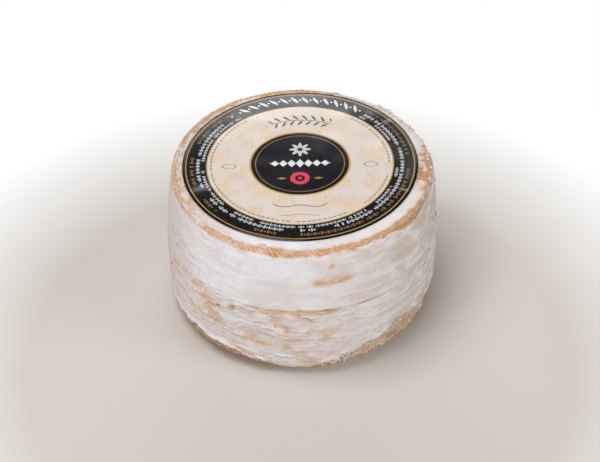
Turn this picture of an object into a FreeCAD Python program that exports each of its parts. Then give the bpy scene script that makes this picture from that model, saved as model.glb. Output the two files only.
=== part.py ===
import FreeCAD, Part
import math
import os
import Sketcher
from FreeCAD import Placement, Rotation, Vector

# A whole wheel of cured sheep cheese with a round printed paper label on its top.
# Millimetres, +Z up. The origin is the middle of the flat base, +X is the wheel's
# higher side. The wheel is an uneven drum: it was pressed in a belt mould, has sagged
# a little over its base and dried with its top slightly out of level.
# The top is pressed flat inside a narrow raised rim, and the label lies on that seat.

POLE_COUNT = 12  # control points round each closed outline
FOOT_STEPS = 4  # outlines through the quarter round of the foot, after the flat base
RIM_STEPS = 3  # outlines through the quarter round of the rim

SIZES = [
    # the wheel
    ("wheel_height", 114.4, "height on the axis"),
    ("wheel_radius", 100.0, "mean radius of the widest outline"),
    ("widest_level", 46.0, "height of the widest outline"),
    ("shoulder_level", 83.0, "height at which the flank starts to draw in"),
    ("foot_inset", 1.6, "foot outline inside the widest one, before its rounding"),
    ("shoulder_inset", 1.5, "shoulder outline inside the widest one"),
    ("top_inset", 5.2, "top outline inside the widest one"),
    ("oval_rise", 1.0, "how far the outline swells at the two ends of its oval"),
    ("oval_turn", 135.0, "direction of the oval's long axis, degrees from +X"),
    ("lobe_rise", 0.6, "how far the outline swells at its three blunt lobes"),
    ("lobe_turn", 3.0, "direction of the first lobe, degrees from +X"),
    ("lean", 1.1, "how far the top outline stands to +X of the foot"),
    ("top_slant", 1.2, "slope of the top, degrees, rising to +X"),
    ("base_corner", 14.0, "rounding round the sagged foot"),
    # the pressed top and its rim
    ("rim_width", 3.0, "raised rim between the flank and the pressed seat"),
    ("rim_round", 1.9, "outer rounding of the rim"),
    ("seat_depth", 0.8, "depth of the pressed seat below the rim"),
    ("seat_run", 0.4, "how far the seat's sloping wall runs in"),
    # the label
    ("label_gap", 0.5, "least gap between the label's edge and the seat's wall"),
    ("label_shift", 3.6, "how far the label lies off centre, towards +Y"),
    ("label_thickness", 0.3, "coated paper and its glue"),
]

# The seat's floor, as a height on the axis under the tipped top.
SEAT_LEVEL = "Sizes.wheel_height - Sizes.seat_depth / cos(Sizes.top_slant * 1deg)"


def fill_sheet(sheet, sizes):
    """Each row of the sheet is one size: its name, its value and what it means."""
    for row, (name, value, meaning) in enumerate(sizes, start=1):
        sheet.set(f"A{row}", name)
        sheet.set(f"B{row}", repr(value))
        sheet.set(f"C{row}", meaning)
        sheet.setAlias(f"B{row}", name)


def origin_plane(body, role):
    """The body's own base plane with that role."""
    return next(plane for plane in body.Origin.OriginFeatures if plane.Role == role)


def level_sketch(body, name, level, slant="0"):
    """An empty sketch lying across the body at a height, tipped about Y by a slant in degrees."""
    sketch = body.newObject("Sketcher::SketchObject", name)
    sketch.AttachmentSupport = (origin_plane(body, "XY_Plane"), [""])
    sketch.MapMode = "FlatFace"
    sketch.AttachmentOffset = Placement(Vector(0, 0, 0), Rotation(Vector(0, -1, 0), 1))
    sketch.setExpression("AttachmentOffset.Base.z", level)
    sketch.setExpression("AttachmentOffset.Rotation.Angle", slant)
    return sketch


def spline_gain(wave):
    """How much further out the poles stand than a periodic cubic's knots, for that many waves round."""
    return 3.0 / (2.0 + math.cos(wave * 2.0 * math.pi / POLE_COUNT))


def outline_expression(radius, angle):
    """The pole's distance from the outline's centre: the radius, an oval swell of two waves round
    and a blunt lobe of three waves round, each raised to the poles of the closed cubic."""
    mean = f"({radius}) * {spline_gain(1):.6f}"
    oval = f"Sizes.oval_rise * cos(2 * ({angle} - Sizes.oval_turn) * 1deg) * {spline_gain(2):.6f}"
    lobe = f"Sizes.lobe_rise * cos(3 * ({angle} - Sizes.lobe_turn) * 1deg) * {spline_gain(3):.6f}"
    return f"({mean} + {oval} + {lobe})"


def draw_outline(sketch, radius, drift):
    """A closed cubic through the wheel at one level: its centre drifts along X, and every pole
    is held by two dimensions worked out from the sheet."""
    angles = [360.0 * index / POLE_COUNT for index in range(POLE_COUNT)]
    poles = [Vector(math.cos(math.radians(a)), math.sin(math.radians(a)), 0) * 100 for a in angles]
    circles = [sketch.addGeometry(Part.Circle(pole, Vector(0, 0, 1), 5), True) for pole in poles]
    curve = Part.BSplineCurve()
    knots = list(range(POLE_COUNT + 1))
    curve.buildFromPolesMultsKnots(poles, [1] * (POLE_COUNT + 1), knots, True, 3)
    outline = sketch.addGeometry(curve, False)
    for index, circle in enumerate(circles):
        link = "InternalAlignment:Sketcher::BSplineControlPoint"
        sketch.addConstraint(Sketcher.Constraint(link, circle, 3, outline, index))
    sketch.addConstraint(Sketcher.Constraint("Weight", circles[0], 1.0))
    for circle in circles[1:]:
        sketch.addConstraint(Sketcher.Constraint("Equal", circles[0], circle))
    for circle, pole, angle in zip(circles, poles, angles):
        reach = outline_expression(radius, angle)
        across = sketch.addConstraint(Sketcher.Constraint("DistanceX", -1, 1, circle, 3, pole.x))
        sketch.setExpression(f"Constraints[{across}]", f"{reach} * cos({angle} * 1deg) + {drift}")
        along = sketch.addConstraint(Sketcher.Constraint("DistanceY", -1, 1, circle, 3, pole.y))
        sketch.setExpression(f"Constraints[{along}]", f"{reach} * sin({angle} * 1deg)")


def drift_at(level):
    """The lean as a sideways place at a height, nil at half height."""
    return f"Sizes.lean * (({level}) / Sizes.wheel_height - 0.5)"


def round_in(size, turn):
    """How far a quarter round of that size has drawn in at a turn from level (0) to upright (90)."""
    return f"{size} * (1 - cos({turn} * 1deg))"


def wheel_outlines():
    """The loft's outlines from the base up: name, height on the axis, mean radius and slant.
    The foot's round starts flat on the base, and the rim's round ends level with the tipped top."""
    foot = "Sizes.wheel_radius - Sizes.foot_inset"
    top = "Sizes.wheel_radius - Sizes.top_inset"
    rows = []
    for step in range(FOOT_STEPS + 1):
        turn = 90.0 * (1 - step / FOOT_STEPS)
        level = round_in("Sizes.base_corner", 90 - turn)
        rows.append((f"FootOutline{step}", level, f"{foot} - {round_in('Sizes.base_corner', turn)}", "0"))
    rows.append(("WidestOutline", "Sizes.widest_level", "Sizes.wheel_radius", "0"))
    shoulder = "Sizes.wheel_radius - Sizes.shoulder_inset"
    rows.append(("ShoulderOutline", "Sizes.shoulder_level", shoulder, "Sizes.top_slant / 2"))
    for step in range(RIM_STEPS):
        turn = 90.0 * step / (RIM_STEPS - 1)
        level = f"Sizes.wheel_height - {round_in('Sizes.rim_round', 90 - turn)}"
        radius = f"{top} - {round_in('Sizes.rim_round', turn)}"
        rows.append((f"RimOutline{step}", level, radius, "Sizes.top_slant"))
    return rows


def make_wheel(doc, sheet):
    """The cheese: one loft through uneven outlines, from the rounded foot to the rounded rim,
    then the seat pressed into its top with a sloping wall."""
    body = doc.addObject("PartDesign::Body", "cheese_wheel")
    body.Label = "cheese_wheel"
    outlines = []
    for name, level, radius, slant in wheel_outlines():
        sketch = level_sketch(body, name, level, slant)
        draw_outline(sketch, radius, drift_at(level))
        outlines.append(sketch)
    doc.recompute()
    drum = body.newObject("PartDesign::AdditiveLoft", "Drum")
    drum.Profile = outlines[0]
    drum.Sections = outlines[1:]
    doc.recompute()
    whole = body.Tip.Shape.Volume

    top = "Sizes.wheel_height"
    mouth_radius = "Sizes.wheel_radius - Sizes.top_inset - Sizes.rim_width"
    mouth = level_sketch(body, "SeatMouth", top, "Sizes.top_slant")
    draw_outline(mouth, mouth_radius, drift_at(top))
    floor = level_sketch(body, "SeatFloor", SEAT_LEVEL, "Sizes.top_slant")
    draw_outline(floor, f"{mouth_radius} - Sizes.seat_run", drift_at(top))
    doc.recompute()
    press = body.newObject("PartDesign::SubtractiveLoft", "PressedSeat")
    press.Profile = mouth
    press.Sections = [floor]
    press.Ruled = True
    doc.recompute()
    if not body.Tip.Shape.Volume < whole:
        raise RuntimeError("the pressed seat cut nothing")
    return body


def make_label(doc):
    """The label: a thin round sheet lying face to face on the tipped seat, off centre towards +Y."""
    body = doc.addObject("PartDesign::Body", "label")
    body.Label = "label"
    sketch = level_sketch(body, "LabelOutline", SEAT_LEVEL, "Sizes.top_slant")
    circle = sketch.addGeometry(Part.Circle(Vector(0, 1, 0), Vector(0, 0, 1), 80), False)
    sketch.addConstraint(Sketcher.Constraint("PointOnObject", circle, 3, -2))
    shift = sketch.addConstraint(Sketcher.Constraint("DistanceY", -1, 1, circle, 3, 1))
    sketch.setExpression(f"Constraints[{shift}]", "Sizes.label_shift")
    reach = sketch.addConstraint(Sketcher.Constraint("Radius", circle, 80))
    mouth = "Sizes.wheel_radius - Sizes.top_inset - Sizes.rim_width"
    least = f"{mouth} - Sizes.seat_run - Sizes.oval_rise - Sizes.lobe_rise"
    sketch.setExpression(f"Constraints[{reach}]", f"{least} - Sizes.label_gap - Sizes.label_shift")
    doc.recompute()
    sheet_of_paper = body.newObject("PartDesign::Pad", "Paper")
    sheet_of_paper.Profile = sketch
    sheet_of_paper.setExpression("Length", "Sizes.label_thickness")
    doc.recompute()
    return body


def main():
    doc = FreeCAD.newDocument("CheeseWheel")
    sheet = doc.addObject("Spreadsheet::Sheet", "Sizes")
    fill_sheet(sheet, SIZES)
    doc.recompute()
    bodies = [make_wheel(doc, sheet), make_label(doc)]
    doc.recompute()
    for item in doc.Objects:
        if "Invalid" in item.State or "Error" in item.State:
            raise RuntimeError(f"{item.Name} failed: {item.State}")
    for body in bodies:
        if body.Shape.isNull() or not body.Shape.isValid():
            raise RuntimeError(f"{body.Label} has no valid shape")
    os.makedirs("parts", exist_ok=True)
    for body in bodies:
        body.Shape.exportStep(f"parts/{body.Label}.step")
        box = body.Shape.BoundBox
        print(f"{body.Label}: {box.XLength:.1f} x {box.YLength:.1f} x {box.ZLength:.1f} mm, "
              f"{body.Shape.Volume / 1000:.1f} ml")


main()
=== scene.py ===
"""A whole wheel of cured sheep cheese with its round paper label: the rind with its white coat and
the rope marks round its rim, loose flakes and crumbs, and the printed paper, all in metres."""
import math
import bpy
import numpy as np
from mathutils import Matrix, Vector


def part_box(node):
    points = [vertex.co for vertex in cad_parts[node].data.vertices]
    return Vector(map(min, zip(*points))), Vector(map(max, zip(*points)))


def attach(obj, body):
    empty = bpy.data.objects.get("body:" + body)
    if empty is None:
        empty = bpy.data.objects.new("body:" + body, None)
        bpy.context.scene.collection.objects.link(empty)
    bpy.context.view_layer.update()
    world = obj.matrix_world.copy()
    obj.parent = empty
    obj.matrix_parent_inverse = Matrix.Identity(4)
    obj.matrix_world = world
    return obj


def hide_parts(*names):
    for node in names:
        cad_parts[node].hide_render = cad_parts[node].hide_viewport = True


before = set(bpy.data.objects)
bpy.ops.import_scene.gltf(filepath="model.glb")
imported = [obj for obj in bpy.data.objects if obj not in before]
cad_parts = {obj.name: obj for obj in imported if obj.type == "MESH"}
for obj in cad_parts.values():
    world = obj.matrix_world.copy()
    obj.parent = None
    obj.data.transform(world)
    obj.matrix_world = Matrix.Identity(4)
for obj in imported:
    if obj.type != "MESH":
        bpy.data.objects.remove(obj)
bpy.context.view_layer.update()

MM = 0.001
TURN = 2.0 * math.pi

# Sizes read from the frame, in millimetres.
wheel_low, wheel_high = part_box("cheese_wheel")
label_low, label_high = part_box("label")
WHEEL_RADIUS = (wheel_high.x - wheel_low.x) / 2 / MM
LABEL_RADIUS = (label_high.x - label_low.x) / 2 / MM
LABEL_SHIFT = (label_high.y + label_low.y) / 2 / MM

# The drum's form, in millimetres and radians: that of the cheese_wheel node, but with a softer
# rim and a gentler slope down to the seat.
SLANT = math.radians(1.2)
TOP_INSET = 5.2
FOOT_INSET = 1.6
WIDEST_LEVEL = 46.0
FOOT_ROUND = 14.0
RIM_ROUND = 2.8
RIM_WIDTH = 3.0
SEAT_DEPTH = 0.8
SEAT_RUN = 1.0
OVAL_RISE = 1.0
OVAL_TURN = math.radians(135.0)
LOBE_RISE = 0.6
LOBE_TURN = math.radians(3.0)
LEAN = 1.1
TOP_RADIUS = WHEEL_RADIUS - TOP_INSET
WHEEL_HEIGHT = wheel_high.z / MM - (TOP_RADIUS - RIM_WIDTH / 2) * math.tan(SLANT)

# The paper, in millimetres: its own thickness, and its mean lift off the seat.
LABEL_THICKNESS = 0.3
LABEL_LIFT = 0.24
LABEL_CLEARANCE = 0.02

# How finely the pieces are divided: columns round them, and steps in millimetres.
COLUMNS = 384
RIM_SPLIT = 4
ROW_STEP = 0.74
RIM_STEP = 0.5
MARGIN_WIDTH = 13.0
LABEL_COLUMNS = 480
LABEL_RINGS = 56
LENS_SIDES = 9

# The mould's rope: its strands round the rim, and the way over the rim in which one turns right
# round. Then the height of the seam.
ROPE_STRANDS = 158
ROPE_LAY = 5.4
SEAM_LEVEL = 64.0

# The bare crust's upper edge, in millimetres above the base, at directions round the wheel.
CRUST_TURNS = [-180, -150, -135, -118, -98, -84, -72, -60, -46, -15, 5, 30, 90, 180]
CRUST_TOPS = [8, 14, 17, 14, 6, 8, 15, 22, 28, 28, 26, 12, 9, 8]

# Half the width of the rope band in millimetres, at directions round the wheel.
BAND_TURNS = [-180, -150, -120, -103, -94, -86, -81, -70, -60, -50, -42, -32, -24, -10, 20, 90, 180]
BAND_HALVES = [3.2, 3.0, 3.4, 4.8, 4.8, 4.4, 3.0, 3.8, 3.0, 3.4, 5.2, 5.2, 3.4, 3.4, 3.8, 3.8, 3.2]

# How well the coat covers at heights up the side, in millimetres.
COVER_LEVELS = [0.0, 8.0, 20.0, 44.0, 57.0, 68.0, 100.0, 108.0, 116.0]
COVER_SHARES = [0.46, 0.52, 0.60, 0.62, 0.64, 0.96, 1.10, 1.00, 0.95]

# Where the coat has worn through: angle round the wheel, height, half length and half height
# of the patch in millimetres, and how bare it is.
WORN_PATCHES = [
    (-137, 61, 7, 4, 1.3),
    (-132, 49, 7, 7, 1.3),
    (-127, 38, 8, 4, 1.0),
    (-118, 60, 14, 1.8, 0.7),
    (-115, 45, 8, 1.6, -0.9),
    (-100, 61.5, 9, 1.6, 1.3),
    (-88, 62, 9, 2.0, 1.8),
    (-78, 62.5, 6, 1.7, 1.5),
    (-81, 87.5, 8, 4.0, 1.9),
    (-73, 90, 9, 3.9, 2.1),
    (-77.8, 99.5, 1.8, 1.6, 2.2),
    (-76.8, 101.8, 1.8, 1.6, 2.2),
    (-68, 70, 7, 2.0, 0.9),
    (-76, 93, 17, 9, 0.22),
    (-31, 62, 7, 3, 0.8),
    (-16, 86, 9, 20, 0.4),
    (12, 76, 20, 3, 0.8),
    (55, 58, 16, 5, 0.9),
    (98, 47, 22, 4, 0.8),
    (140, 70, 14, 3, 0.9),
    (171, 52, 12, 6, 0.8),
]

# Where loose flakes lie: how many, their middle angle and its spread in degrees, and their middle
# height and its spread in millimetres.
FLAKE_ZONES = [
    (230, 2.0, 20.0, 72.0, 20.0),
    (220, 44.0, 20.0, 112.0, 5.0),
    (120, -150.0, 30.0, 45.0, 20.0),
    (160, 120.0, 60.0, 60.0, 28.0),
]

# The colouring fields of a loose bit, before those of its own.
LOOSE_FIELDS = {"coat": 0.0, "crack_shade": 0.0, "rope": 0.0, "band": 0.0, "crust": 0.0, "smooth": 0.5,
                "fold": 0.5, "drape": 0.0}

# The softness of the print's edges, as a share of the label's radius.
PRINT_SOFT = 0.006

# The camera, in degrees, metres and millimetres of lens.
CAMERA_ELEVATION = math.radians(41.04)
CAMERA_DISTANCE = 1.3035
CAMERA_AIM_HEIGHT = 0.0519
CAMERA_LENS = 104.42
CAMERA_SENSOR = 36.0


# ---------------------------------------------------------------- noise

def lattice(cells, seed):
    """A fixed number from -1 to 1 for each whole-number cell, by mixing its three indices."""
    mixed = cells[..., 0] * 374761393 + cells[..., 1] * 668265263 + cells[..., 2] * 1103515245
    mixed = (mixed + seed * 974711) & 0xFFFFFFFF
    mixed = ((mixed ^ (mixed >> 13)) * 1274126177) & 0xFFFFFFFF
    mixed = mixed ^ (mixed >> 16)
    return mixed / 2147483648.0 - 1.0


def noise(points, seed):
    """Smooth noise: the eight cell corners round each point, blended with t * t * (3 - 2 t)."""
    cell = np.floor(points).astype(np.int64)
    part = points - cell
    part = part * part * (3.0 - 2.0 * part)
    total = 0.0
    for corner in np.ndindex(2, 2, 2):
        offset = np.array(corner)
        weight = np.where(offset == 1, part, 1.0 - part).prod(axis=-1)
        total = total + weight * lattice(cell + offset, seed)
    return total


def layered(points, seed, octaves):
    """Noise summed over octaves: each is twice as fine and half as strong as the one before."""
    total = 0.0
    for octave in range(octaves):
        total = total + noise(points * 2.0 ** octave, seed + octave) * 0.5 ** octave
    return total


def brushed(points, along, across, seed, octaves):
    """Layered noise drawn out level round the wheel: 'along' mm in X and Y, 'across' mm in Z."""
    return layered(points / np.array([along, along, across]), seed, octaves)


def ease(value, low, high):
    """A smooth step from 0 at low to 1 at high."""
    t = np.clip((value - low) / (high - low), 0.0, 1.0)
    return t * t * (3.0 - 2.0 * t)


# ---------------------------------------------------------------- the drum's form

def flank_radius(level):
    """The barrelled side: widest at one level, drawing in by a power of the height above it
    and by the square of the depth below it."""
    above = np.clip((level - WIDEST_LEVEL) / (WHEEL_HEIGHT - WIDEST_LEVEL), 0.0, 1.0)
    below = np.clip((WIDEST_LEVEL - level) / (WIDEST_LEVEL - FOOT_ROUND), 0.0, 1.0)
    return WHEEL_RADIUS - TOP_INSET * above ** 2.1 - FOOT_INSET * below ** 2


def profile_line():
    """The half outline from the middle of the base round to the middle of the seat: flat base,
    quarter round foot, barrelled flank, round rim, slope and level seat. Gives its points, their
    lengths along it, and the lengths at which the foot, the flank, the rim and the seat start."""
    round_points, flank_points, slope_points = 60, 200, 20
    sweep = np.linspace(0.0, TURN / 4, round_points)
    foot_radius = flank_radius(np.array(FOOT_ROUND))
    base = np.array([[0.0, 0.0], [foot_radius - FOOT_ROUND, 0.0]])
    foot = np.stack([foot_radius - FOOT_ROUND * (1 - np.sin(sweep)), FOOT_ROUND * (1 - np.cos(sweep))], 1)
    level = np.linspace(FOOT_ROUND, WHEEL_HEIGHT - RIM_ROUND, flank_points)
    flank = np.stack([flank_radius(level), level], 1)
    rim_radius = flank[-1, 0]
    rim = np.stack([rim_radius - RIM_ROUND * (1 - np.cos(sweep)),
                    WHEEL_HEIGHT - RIM_ROUND * (1 - np.sin(sweep))], 1)
    lip = TOP_RADIUS - RIM_WIDTH
    fall = np.linspace(0.0, 1.0, slope_points)
    slope = np.stack([lip - SEAT_RUN * fall, WHEEL_HEIGHT - SEAT_DEPTH * fall ** 2 * (3 - 2 * fall)], 1)
    seat = np.array([[0.0, WHEEL_HEIGHT - SEAT_DEPTH]])
    line = np.concatenate([base, foot[1:], flank[1:], rim[1:], slope, seat])
    length = np.concatenate([[0.0], np.cumsum(np.hypot(*np.diff(line, axis=0).T))])
    sizes = np.cumsum([len(base), len(foot) - 1, len(flank) - 1, len(rim) - 1, len(slope)]) - 1
    return line, length, length[sizes]


LINE, LENGTH, (FOOT_START, FLANK_START, RIM_START, RIM_END, SEAT_START) = profile_line()
RIM_MIDDLE = (RIM_START + RIM_END) / 2


def drum(angle, station):
    """The uneven drum, before any relief, with its outward normals. A point turns the half outline
    at 'station' mm round the axis by 'angle'. It then swells by an oval wave and a three-lobed
    wave, leans to +X with height, and tips with the slanting top above the widest level."""
    radius = np.interp(station, LENGTH, LINE[:, 0])
    level = np.interp(station, LENGTH, LINE[:, 1])
    reach = 0.5
    across = np.interp(station + reach, LENGTH, LINE[:, 0]) - np.interp(station - reach, LENGTH, LINE[:, 0])
    rise = np.interp(station + reach, LENGTH, LINE[:, 1]) - np.interp(station - reach, LENGTH, LINE[:, 1])
    size = np.maximum(np.hypot(across, rise), 1e-9)
    outward, upward = rise / size, -across / size
    swell = OVAL_RISE * np.cos(2 * (angle - OVAL_TURN)) + LOBE_RISE * np.cos(3 * (angle - LOBE_TURN))
    radius = radius * (1 + swell / WHEEL_RADIUS)
    x = radius * np.cos(angle) + LEAN * (level / WHEEL_HEIGHT - 0.5)
    y = radius * np.sin(angle)
    tip = ease(level, WIDEST_LEVEL - 10.0, WHEEL_HEIGHT)
    z = level + np.tan(SLANT) * x * tip
    points = np.stack(np.broadcast_arrays(x, y, z), -1)
    normal = np.stack(np.broadcast_arrays(outward * np.cos(angle), outward * np.sin(angle), upward), -1)
    return points, normal


# ---------------------------------------------------------------- the rind's relief

def turned_from(angle, degrees):
    """How far an angle has turned from a direction: from minus half a turn to plus half a turn."""
    return (angle - math.radians(degrees) + TURN / 2) % TURN - TURN / 2


def facing(angle, degrees, wide):
    """1 where the side faces a direction, falling to 0 at 'wide' degrees either side of it."""
    return 1.0 - ease(np.abs(turned_from(angle, degrees)), 0.25 * math.radians(wide), math.radians(wide))


def worn(angle, points):
    """How bare the coat has worn, 0 to 1 and more: the sum of soft oval patches, each falling off
    as a bell curve of the distance from its middle."""
    total = np.zeros(points.shape[:-1])
    for degrees, height, half_length, half_height, bare in WORN_PATCHES:
        across = turned_from(angle, degrees) * WHEEL_RADIUS / half_length
        far = across ** 2 + ((points[..., 2] - height) / half_height) ** 2
        total = total + bare * np.exp(-far)
    return total


def by_direction(angle, turns, values):
    """A number that changes round the wheel: straight runs between the values at given degrees."""
    return np.interp((np.degrees(angle) + 180.0) % 360.0 - 180.0, turns, values)


def foot_crust(angle, points):
    """The bare grainy crust along the foot: its upper edge rises and falls round the wheel, highest
    on the right at the front, and it is ragged. Also gives the thick ridge of coat just above it,
    and a narrow band under that ridge, which dips the relief and is painted dark as the ridge's
    shadow."""
    edge = by_direction(angle, CRUST_TURNS, CRUST_TOPS) + 3.5 * layered(points / 9.0, 71, 3)
    above = points[..., 2] - edge
    ridge = ease(above, -0.4, 0.6) * (1.0 - ease(above, 1.2, 5.0)) * ease(edge, 6.0, 12.0)
    # A narrow band just under the ridge: a painted shadow, darkened in the colour through the crack mask.
    brink_shadow = ease(above, -2.0, -0.7) * (1.0 - ease(above, -0.5, 0.3)) * ease(edge, 8.0, 14.0)
    return 1.0 - ease(above, -0.8, 0.6), ridge, brink_shadow


def wandering(points):
    """The same points with their heights moved up and down by slow noise, so that level lines
    wander as they go round."""
    moved = points.copy()
    moved[..., 2] = points[..., 2] + 6.0 * noise(points / 55.0, 3) + 2.0 * noise(points / 16.0, 4)
    return moved


def shelves(points, pitch, seed):
    """Thin skins that overlap like shingles. The height over a pitch, plus noise, is split into a
    whole number, the skin, and a part, how far up that skin. Each skin comes and goes round the
    wheel by its own noise. Gives the lift of the skins, greatest at their lower edges, and the
    hollow just under the edge of the skin above."""
    ragged = layered(points / np.array([26.0, 26.0, 12.0]), seed, 4)
    phase = points[..., 2] / pitch + 0.8 * ragged
    skin = np.floor(phase)
    part = phase - skin
    spread = points / 14.0
    own = np.stack([spread[..., 0], spread[..., 1], skin * 5.3], -1)
    above = np.stack([spread[..., 0], spread[..., 1], (skin + 1.0) * 5.3], -1)
    here = ease(layered(own, seed + 7, 3), -0.40, 0.45)
    over = ease(layered(above, seed + 7, 3), -0.40, 0.45)
    return here * (1.0 - part) ** 1.3, over * ease(part, 0.72, 1.0)


def folds(points, along, across, seed):
    """Soft ridges like draped cloth: one less the size of drawn-out noise, squared."""
    return (1.0 - np.abs(brushed(points, along, across, seed, 2))) ** 2


def crumple(points, along, across, seed):
    """Creased ridges like crumpled film, 0 to 1: one less the size of drawn-out noise, squared,
    summed over four octaves. Each is twice as fine as the one before and 0.62 as strong, and its
    level lines slope by a fifth of the way along X."""
    total = 0.0
    place = points / np.array([along, along, across])
    for octave in range(4):
        finer = place * 2.0 ** octave
        sloped = np.stack([finer[..., 0], finer[..., 1], finer[..., 2] + 0.2 * finer[..., 0]], -1)
        total = total + (1.0 - np.abs(noise(sloped, seed + octave))) ** 2 * 0.62 ** octave
    full_strength = 2.243
    return total / full_strength


def rope_band(angle, station, points):
    """The band where the mould's rope lay round the rim, 0 to 1. Its middle wanders with noise and
    dips at the left and at the right front, and its ragged half width changes round the wheel."""
    low = 1.3 * facing(angle, -165.0, 60.0) + 1.2 * facing(angle, -35.0, 34.0) - 0.7
    off_rim = np.abs(station - RIM_MIDDLE + low + 0.8 * noise(points / 14.0, 9))
    half_band = by_direction(angle, BAND_TURNS, BAND_HALVES)
    half_band = half_band + 1.5 * layered(points / 4.5, 12, 4) + 0.6 * noise(points / 20.0, 10)
    return 1.0 - ease(off_rim, half_band - 1.9, half_band + 1.9)


def bare_margin(angle, station):
    """How bare the seat lies outside the label: most at the right, less at the left and the back."""
    on_top = ease(station, RIM_END - 1.0, RIM_END + 1.0)
    bare = 0.55 * facing(angle, -178.0, 75.0) + 0.95 * facing(angle, -5.0, 22.0)
    bare = bare + 0.50 * facing(angle, 112.0, 60.0)
    return on_top * bare


def coat_cover(angle, station, points):
    """How well the white coat covers, before its own patchiness: a share for the height, less at
    the far left, more low on the right, nearly nil along the rope band, and less on the seat's
    bare margins and in the worn patches. Also gives the rope band, and the band together with the
    margins' tan parts."""
    level = points[..., 2] + 4.0 * noise(points / 30.0, 5)
    cover = np.interp(level, COVER_LEVELS, COVER_SHARES)
    cover = cover - 0.24 * facing(angle, -178.0, 55.0) * ease(points[..., 2], 40.0, 70.0)
    cover = cover + 0.22 * facing(angle, -24.0, 60.0) * (1.0 - ease(points[..., 2], 55.0, 70.0))
    band = rope_band(angle, station, points)
    keeps = ease(layered(points / 3.5, 17, 3), 0.25, 1.2)
    kept = 0.45 * keeps + 0.12 * facing(angle, -150.0, 60.0) + 0.75 * facing(angle, 42.0, 34.0)
    cover = cover - 1.15 * band * np.clip(1.0 - kept, 0.0, 1.0)
    margin = bare_margin(angle, station)
    cover = cover - margin * (1.0 + 0.9 * layered(points / 3.0, 18, 3))
    broken = 0.85 + 0.4 * layered(points / np.array([5.0, 5.0, 3.0]), 19, 3)
    cover = cover - 0.85 * worn(angle, points) * broken
    tan = np.clip(margin * (1.2 + layered(points / 3.0, 20, 3)), 0.0, 1.0)
    return cover, band, np.maximum(band, tan)


def rope_marks(angle, station, points):
    """The print of the mould's laid rope round the rim: slanting ridges, one for each strand, as
    a wave that turns with the angle and with the way over the rim, shifted a little by noise.
    A wave of half the pitch, for the yarns, takes over where another noise is high."""
    turn = ROPE_STRANDS * angle + TURN * (station - RIM_MIDDLE) / ROPE_LAY
    shift = 1.1 * noise(points / 9.0, 13)
    yarns = ease(noise(points / 12.0, 14), -0.3, 0.3)
    wave = (1.0 - yarns) * np.cos(turn + shift) + yarns * np.cos(2.0 * turn + shift)
    return 0.5 + 0.5 * wave


def seam_line(angle, points):
    """The thin gaping seam round the side at one height: sharp on the right at the front, broken
    elsewhere by its own noise, and closed over on the left."""
    level = SEAM_LEVEL + 1.3 * noise(points / 22.0, 61) + 0.7 * noise(points / 6.0, 62)
    line = 1.0 - ease(np.abs(points[..., 2] - level), 0.15, 0.9)
    line = line * (0.45 + 0.55 * ease(noise(points / 9.0, 64), -0.4, 0.3))
    broken = ease(noise(points / np.array([20.0, 20.0, 60.0]), 63), -0.2, 0.2)
    open_run = np.maximum(facing(angle, -57.0, 26.0), facing(angle, -92.0, 16.0))
    return line * np.maximum(broken, open_run) * (1.0 - facing(angle, -134.0, 34.0))


def coat_lie(angle, station, height):
    """How the coat lies, as shares from 0 to 1: smooth at the front above the seam and on most of
    the seat, draped in soft folds on the right and at the back, and skinned with overlapping
    scales on the rest of the flank. The flank and its far left are given with them."""
    flank = 1.0 - ease(station, RIM_START - 4.0, RIM_START)
    smooth = facing(angle, -104.0, 50.0) * ease(height, 60.0, 72.0)
    smooth = np.maximum(smooth, 0.55 * facing(angle, -60.0, 40.0) * ease(height, 66.0, 76.0))
    mottled = np.maximum(facing(angle, 0.0, 34.0), 0.8 * facing(angle, 178.0, 70.0))
    smooth = np.maximum(smooth, 0.7 * ease(station, RIM_END, RIM_END + 1.0) * (1.0 - mottled))
    drape = np.maximum(facing(angle, -20.0, 66.0), 0.7 * facing(angle, 105.0, 90.0)) * flank
    far_left = facing(angle, 178.0, 60.0)
    skinned = (1.0 - 0.9 * smooth) * (1.0 - 0.8 * drape) * (1.0 - 0.4 * far_left) * flank
    return flank, smooth, drape, skinned, far_left


def crumbly_parts(angle, station, points, flank):
    """The crumbling rim at the back right, 0 to 1, and the crumbs that stand up there and, fewer,
    on the right flank: the upper half of layered noise."""
    crumbly = facing(angle, 42.0, 30.0) * ease(station, RIM_START - 8.0, RIM_START)
    crumbly = crumbly * (1.0 - ease(station, RIM_END, RIM_END + 3.0))
    scaly = 0.5 * facing(angle, 4.0, 20.0) * flank * ease(points[..., 2], 30.0, 50.0)
    crumbs = ease(layered(points / 3.0, 151, 3), 0.0, 0.9) * np.maximum(crumbly, scaly)
    return crumbly, crumbs


def shaded_cracks(angle, points, hollows, brink_shadow, flank):
    """The greatest of three, which darkens the colour as well as cutting the relief: a painted shadow
    line in the hollows under the skins' lips, torn open where drawn-out noise is high; the seam,
    partly brown crust in its gap and partly painted shade; and the painted shadow of the brink
    above the bare foot."""
    seam = seam_line(angle, points) * flank
    torn = ease(brushed(points, 16.0, 8.0, 57, 2), -0.1, 0.5)
    crack_shade = np.maximum(hollows * (0.10 + 0.60 * torn), 0.8 * seam)
    return np.maximum(crack_shade, 0.75 * brink_shadow)


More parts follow.
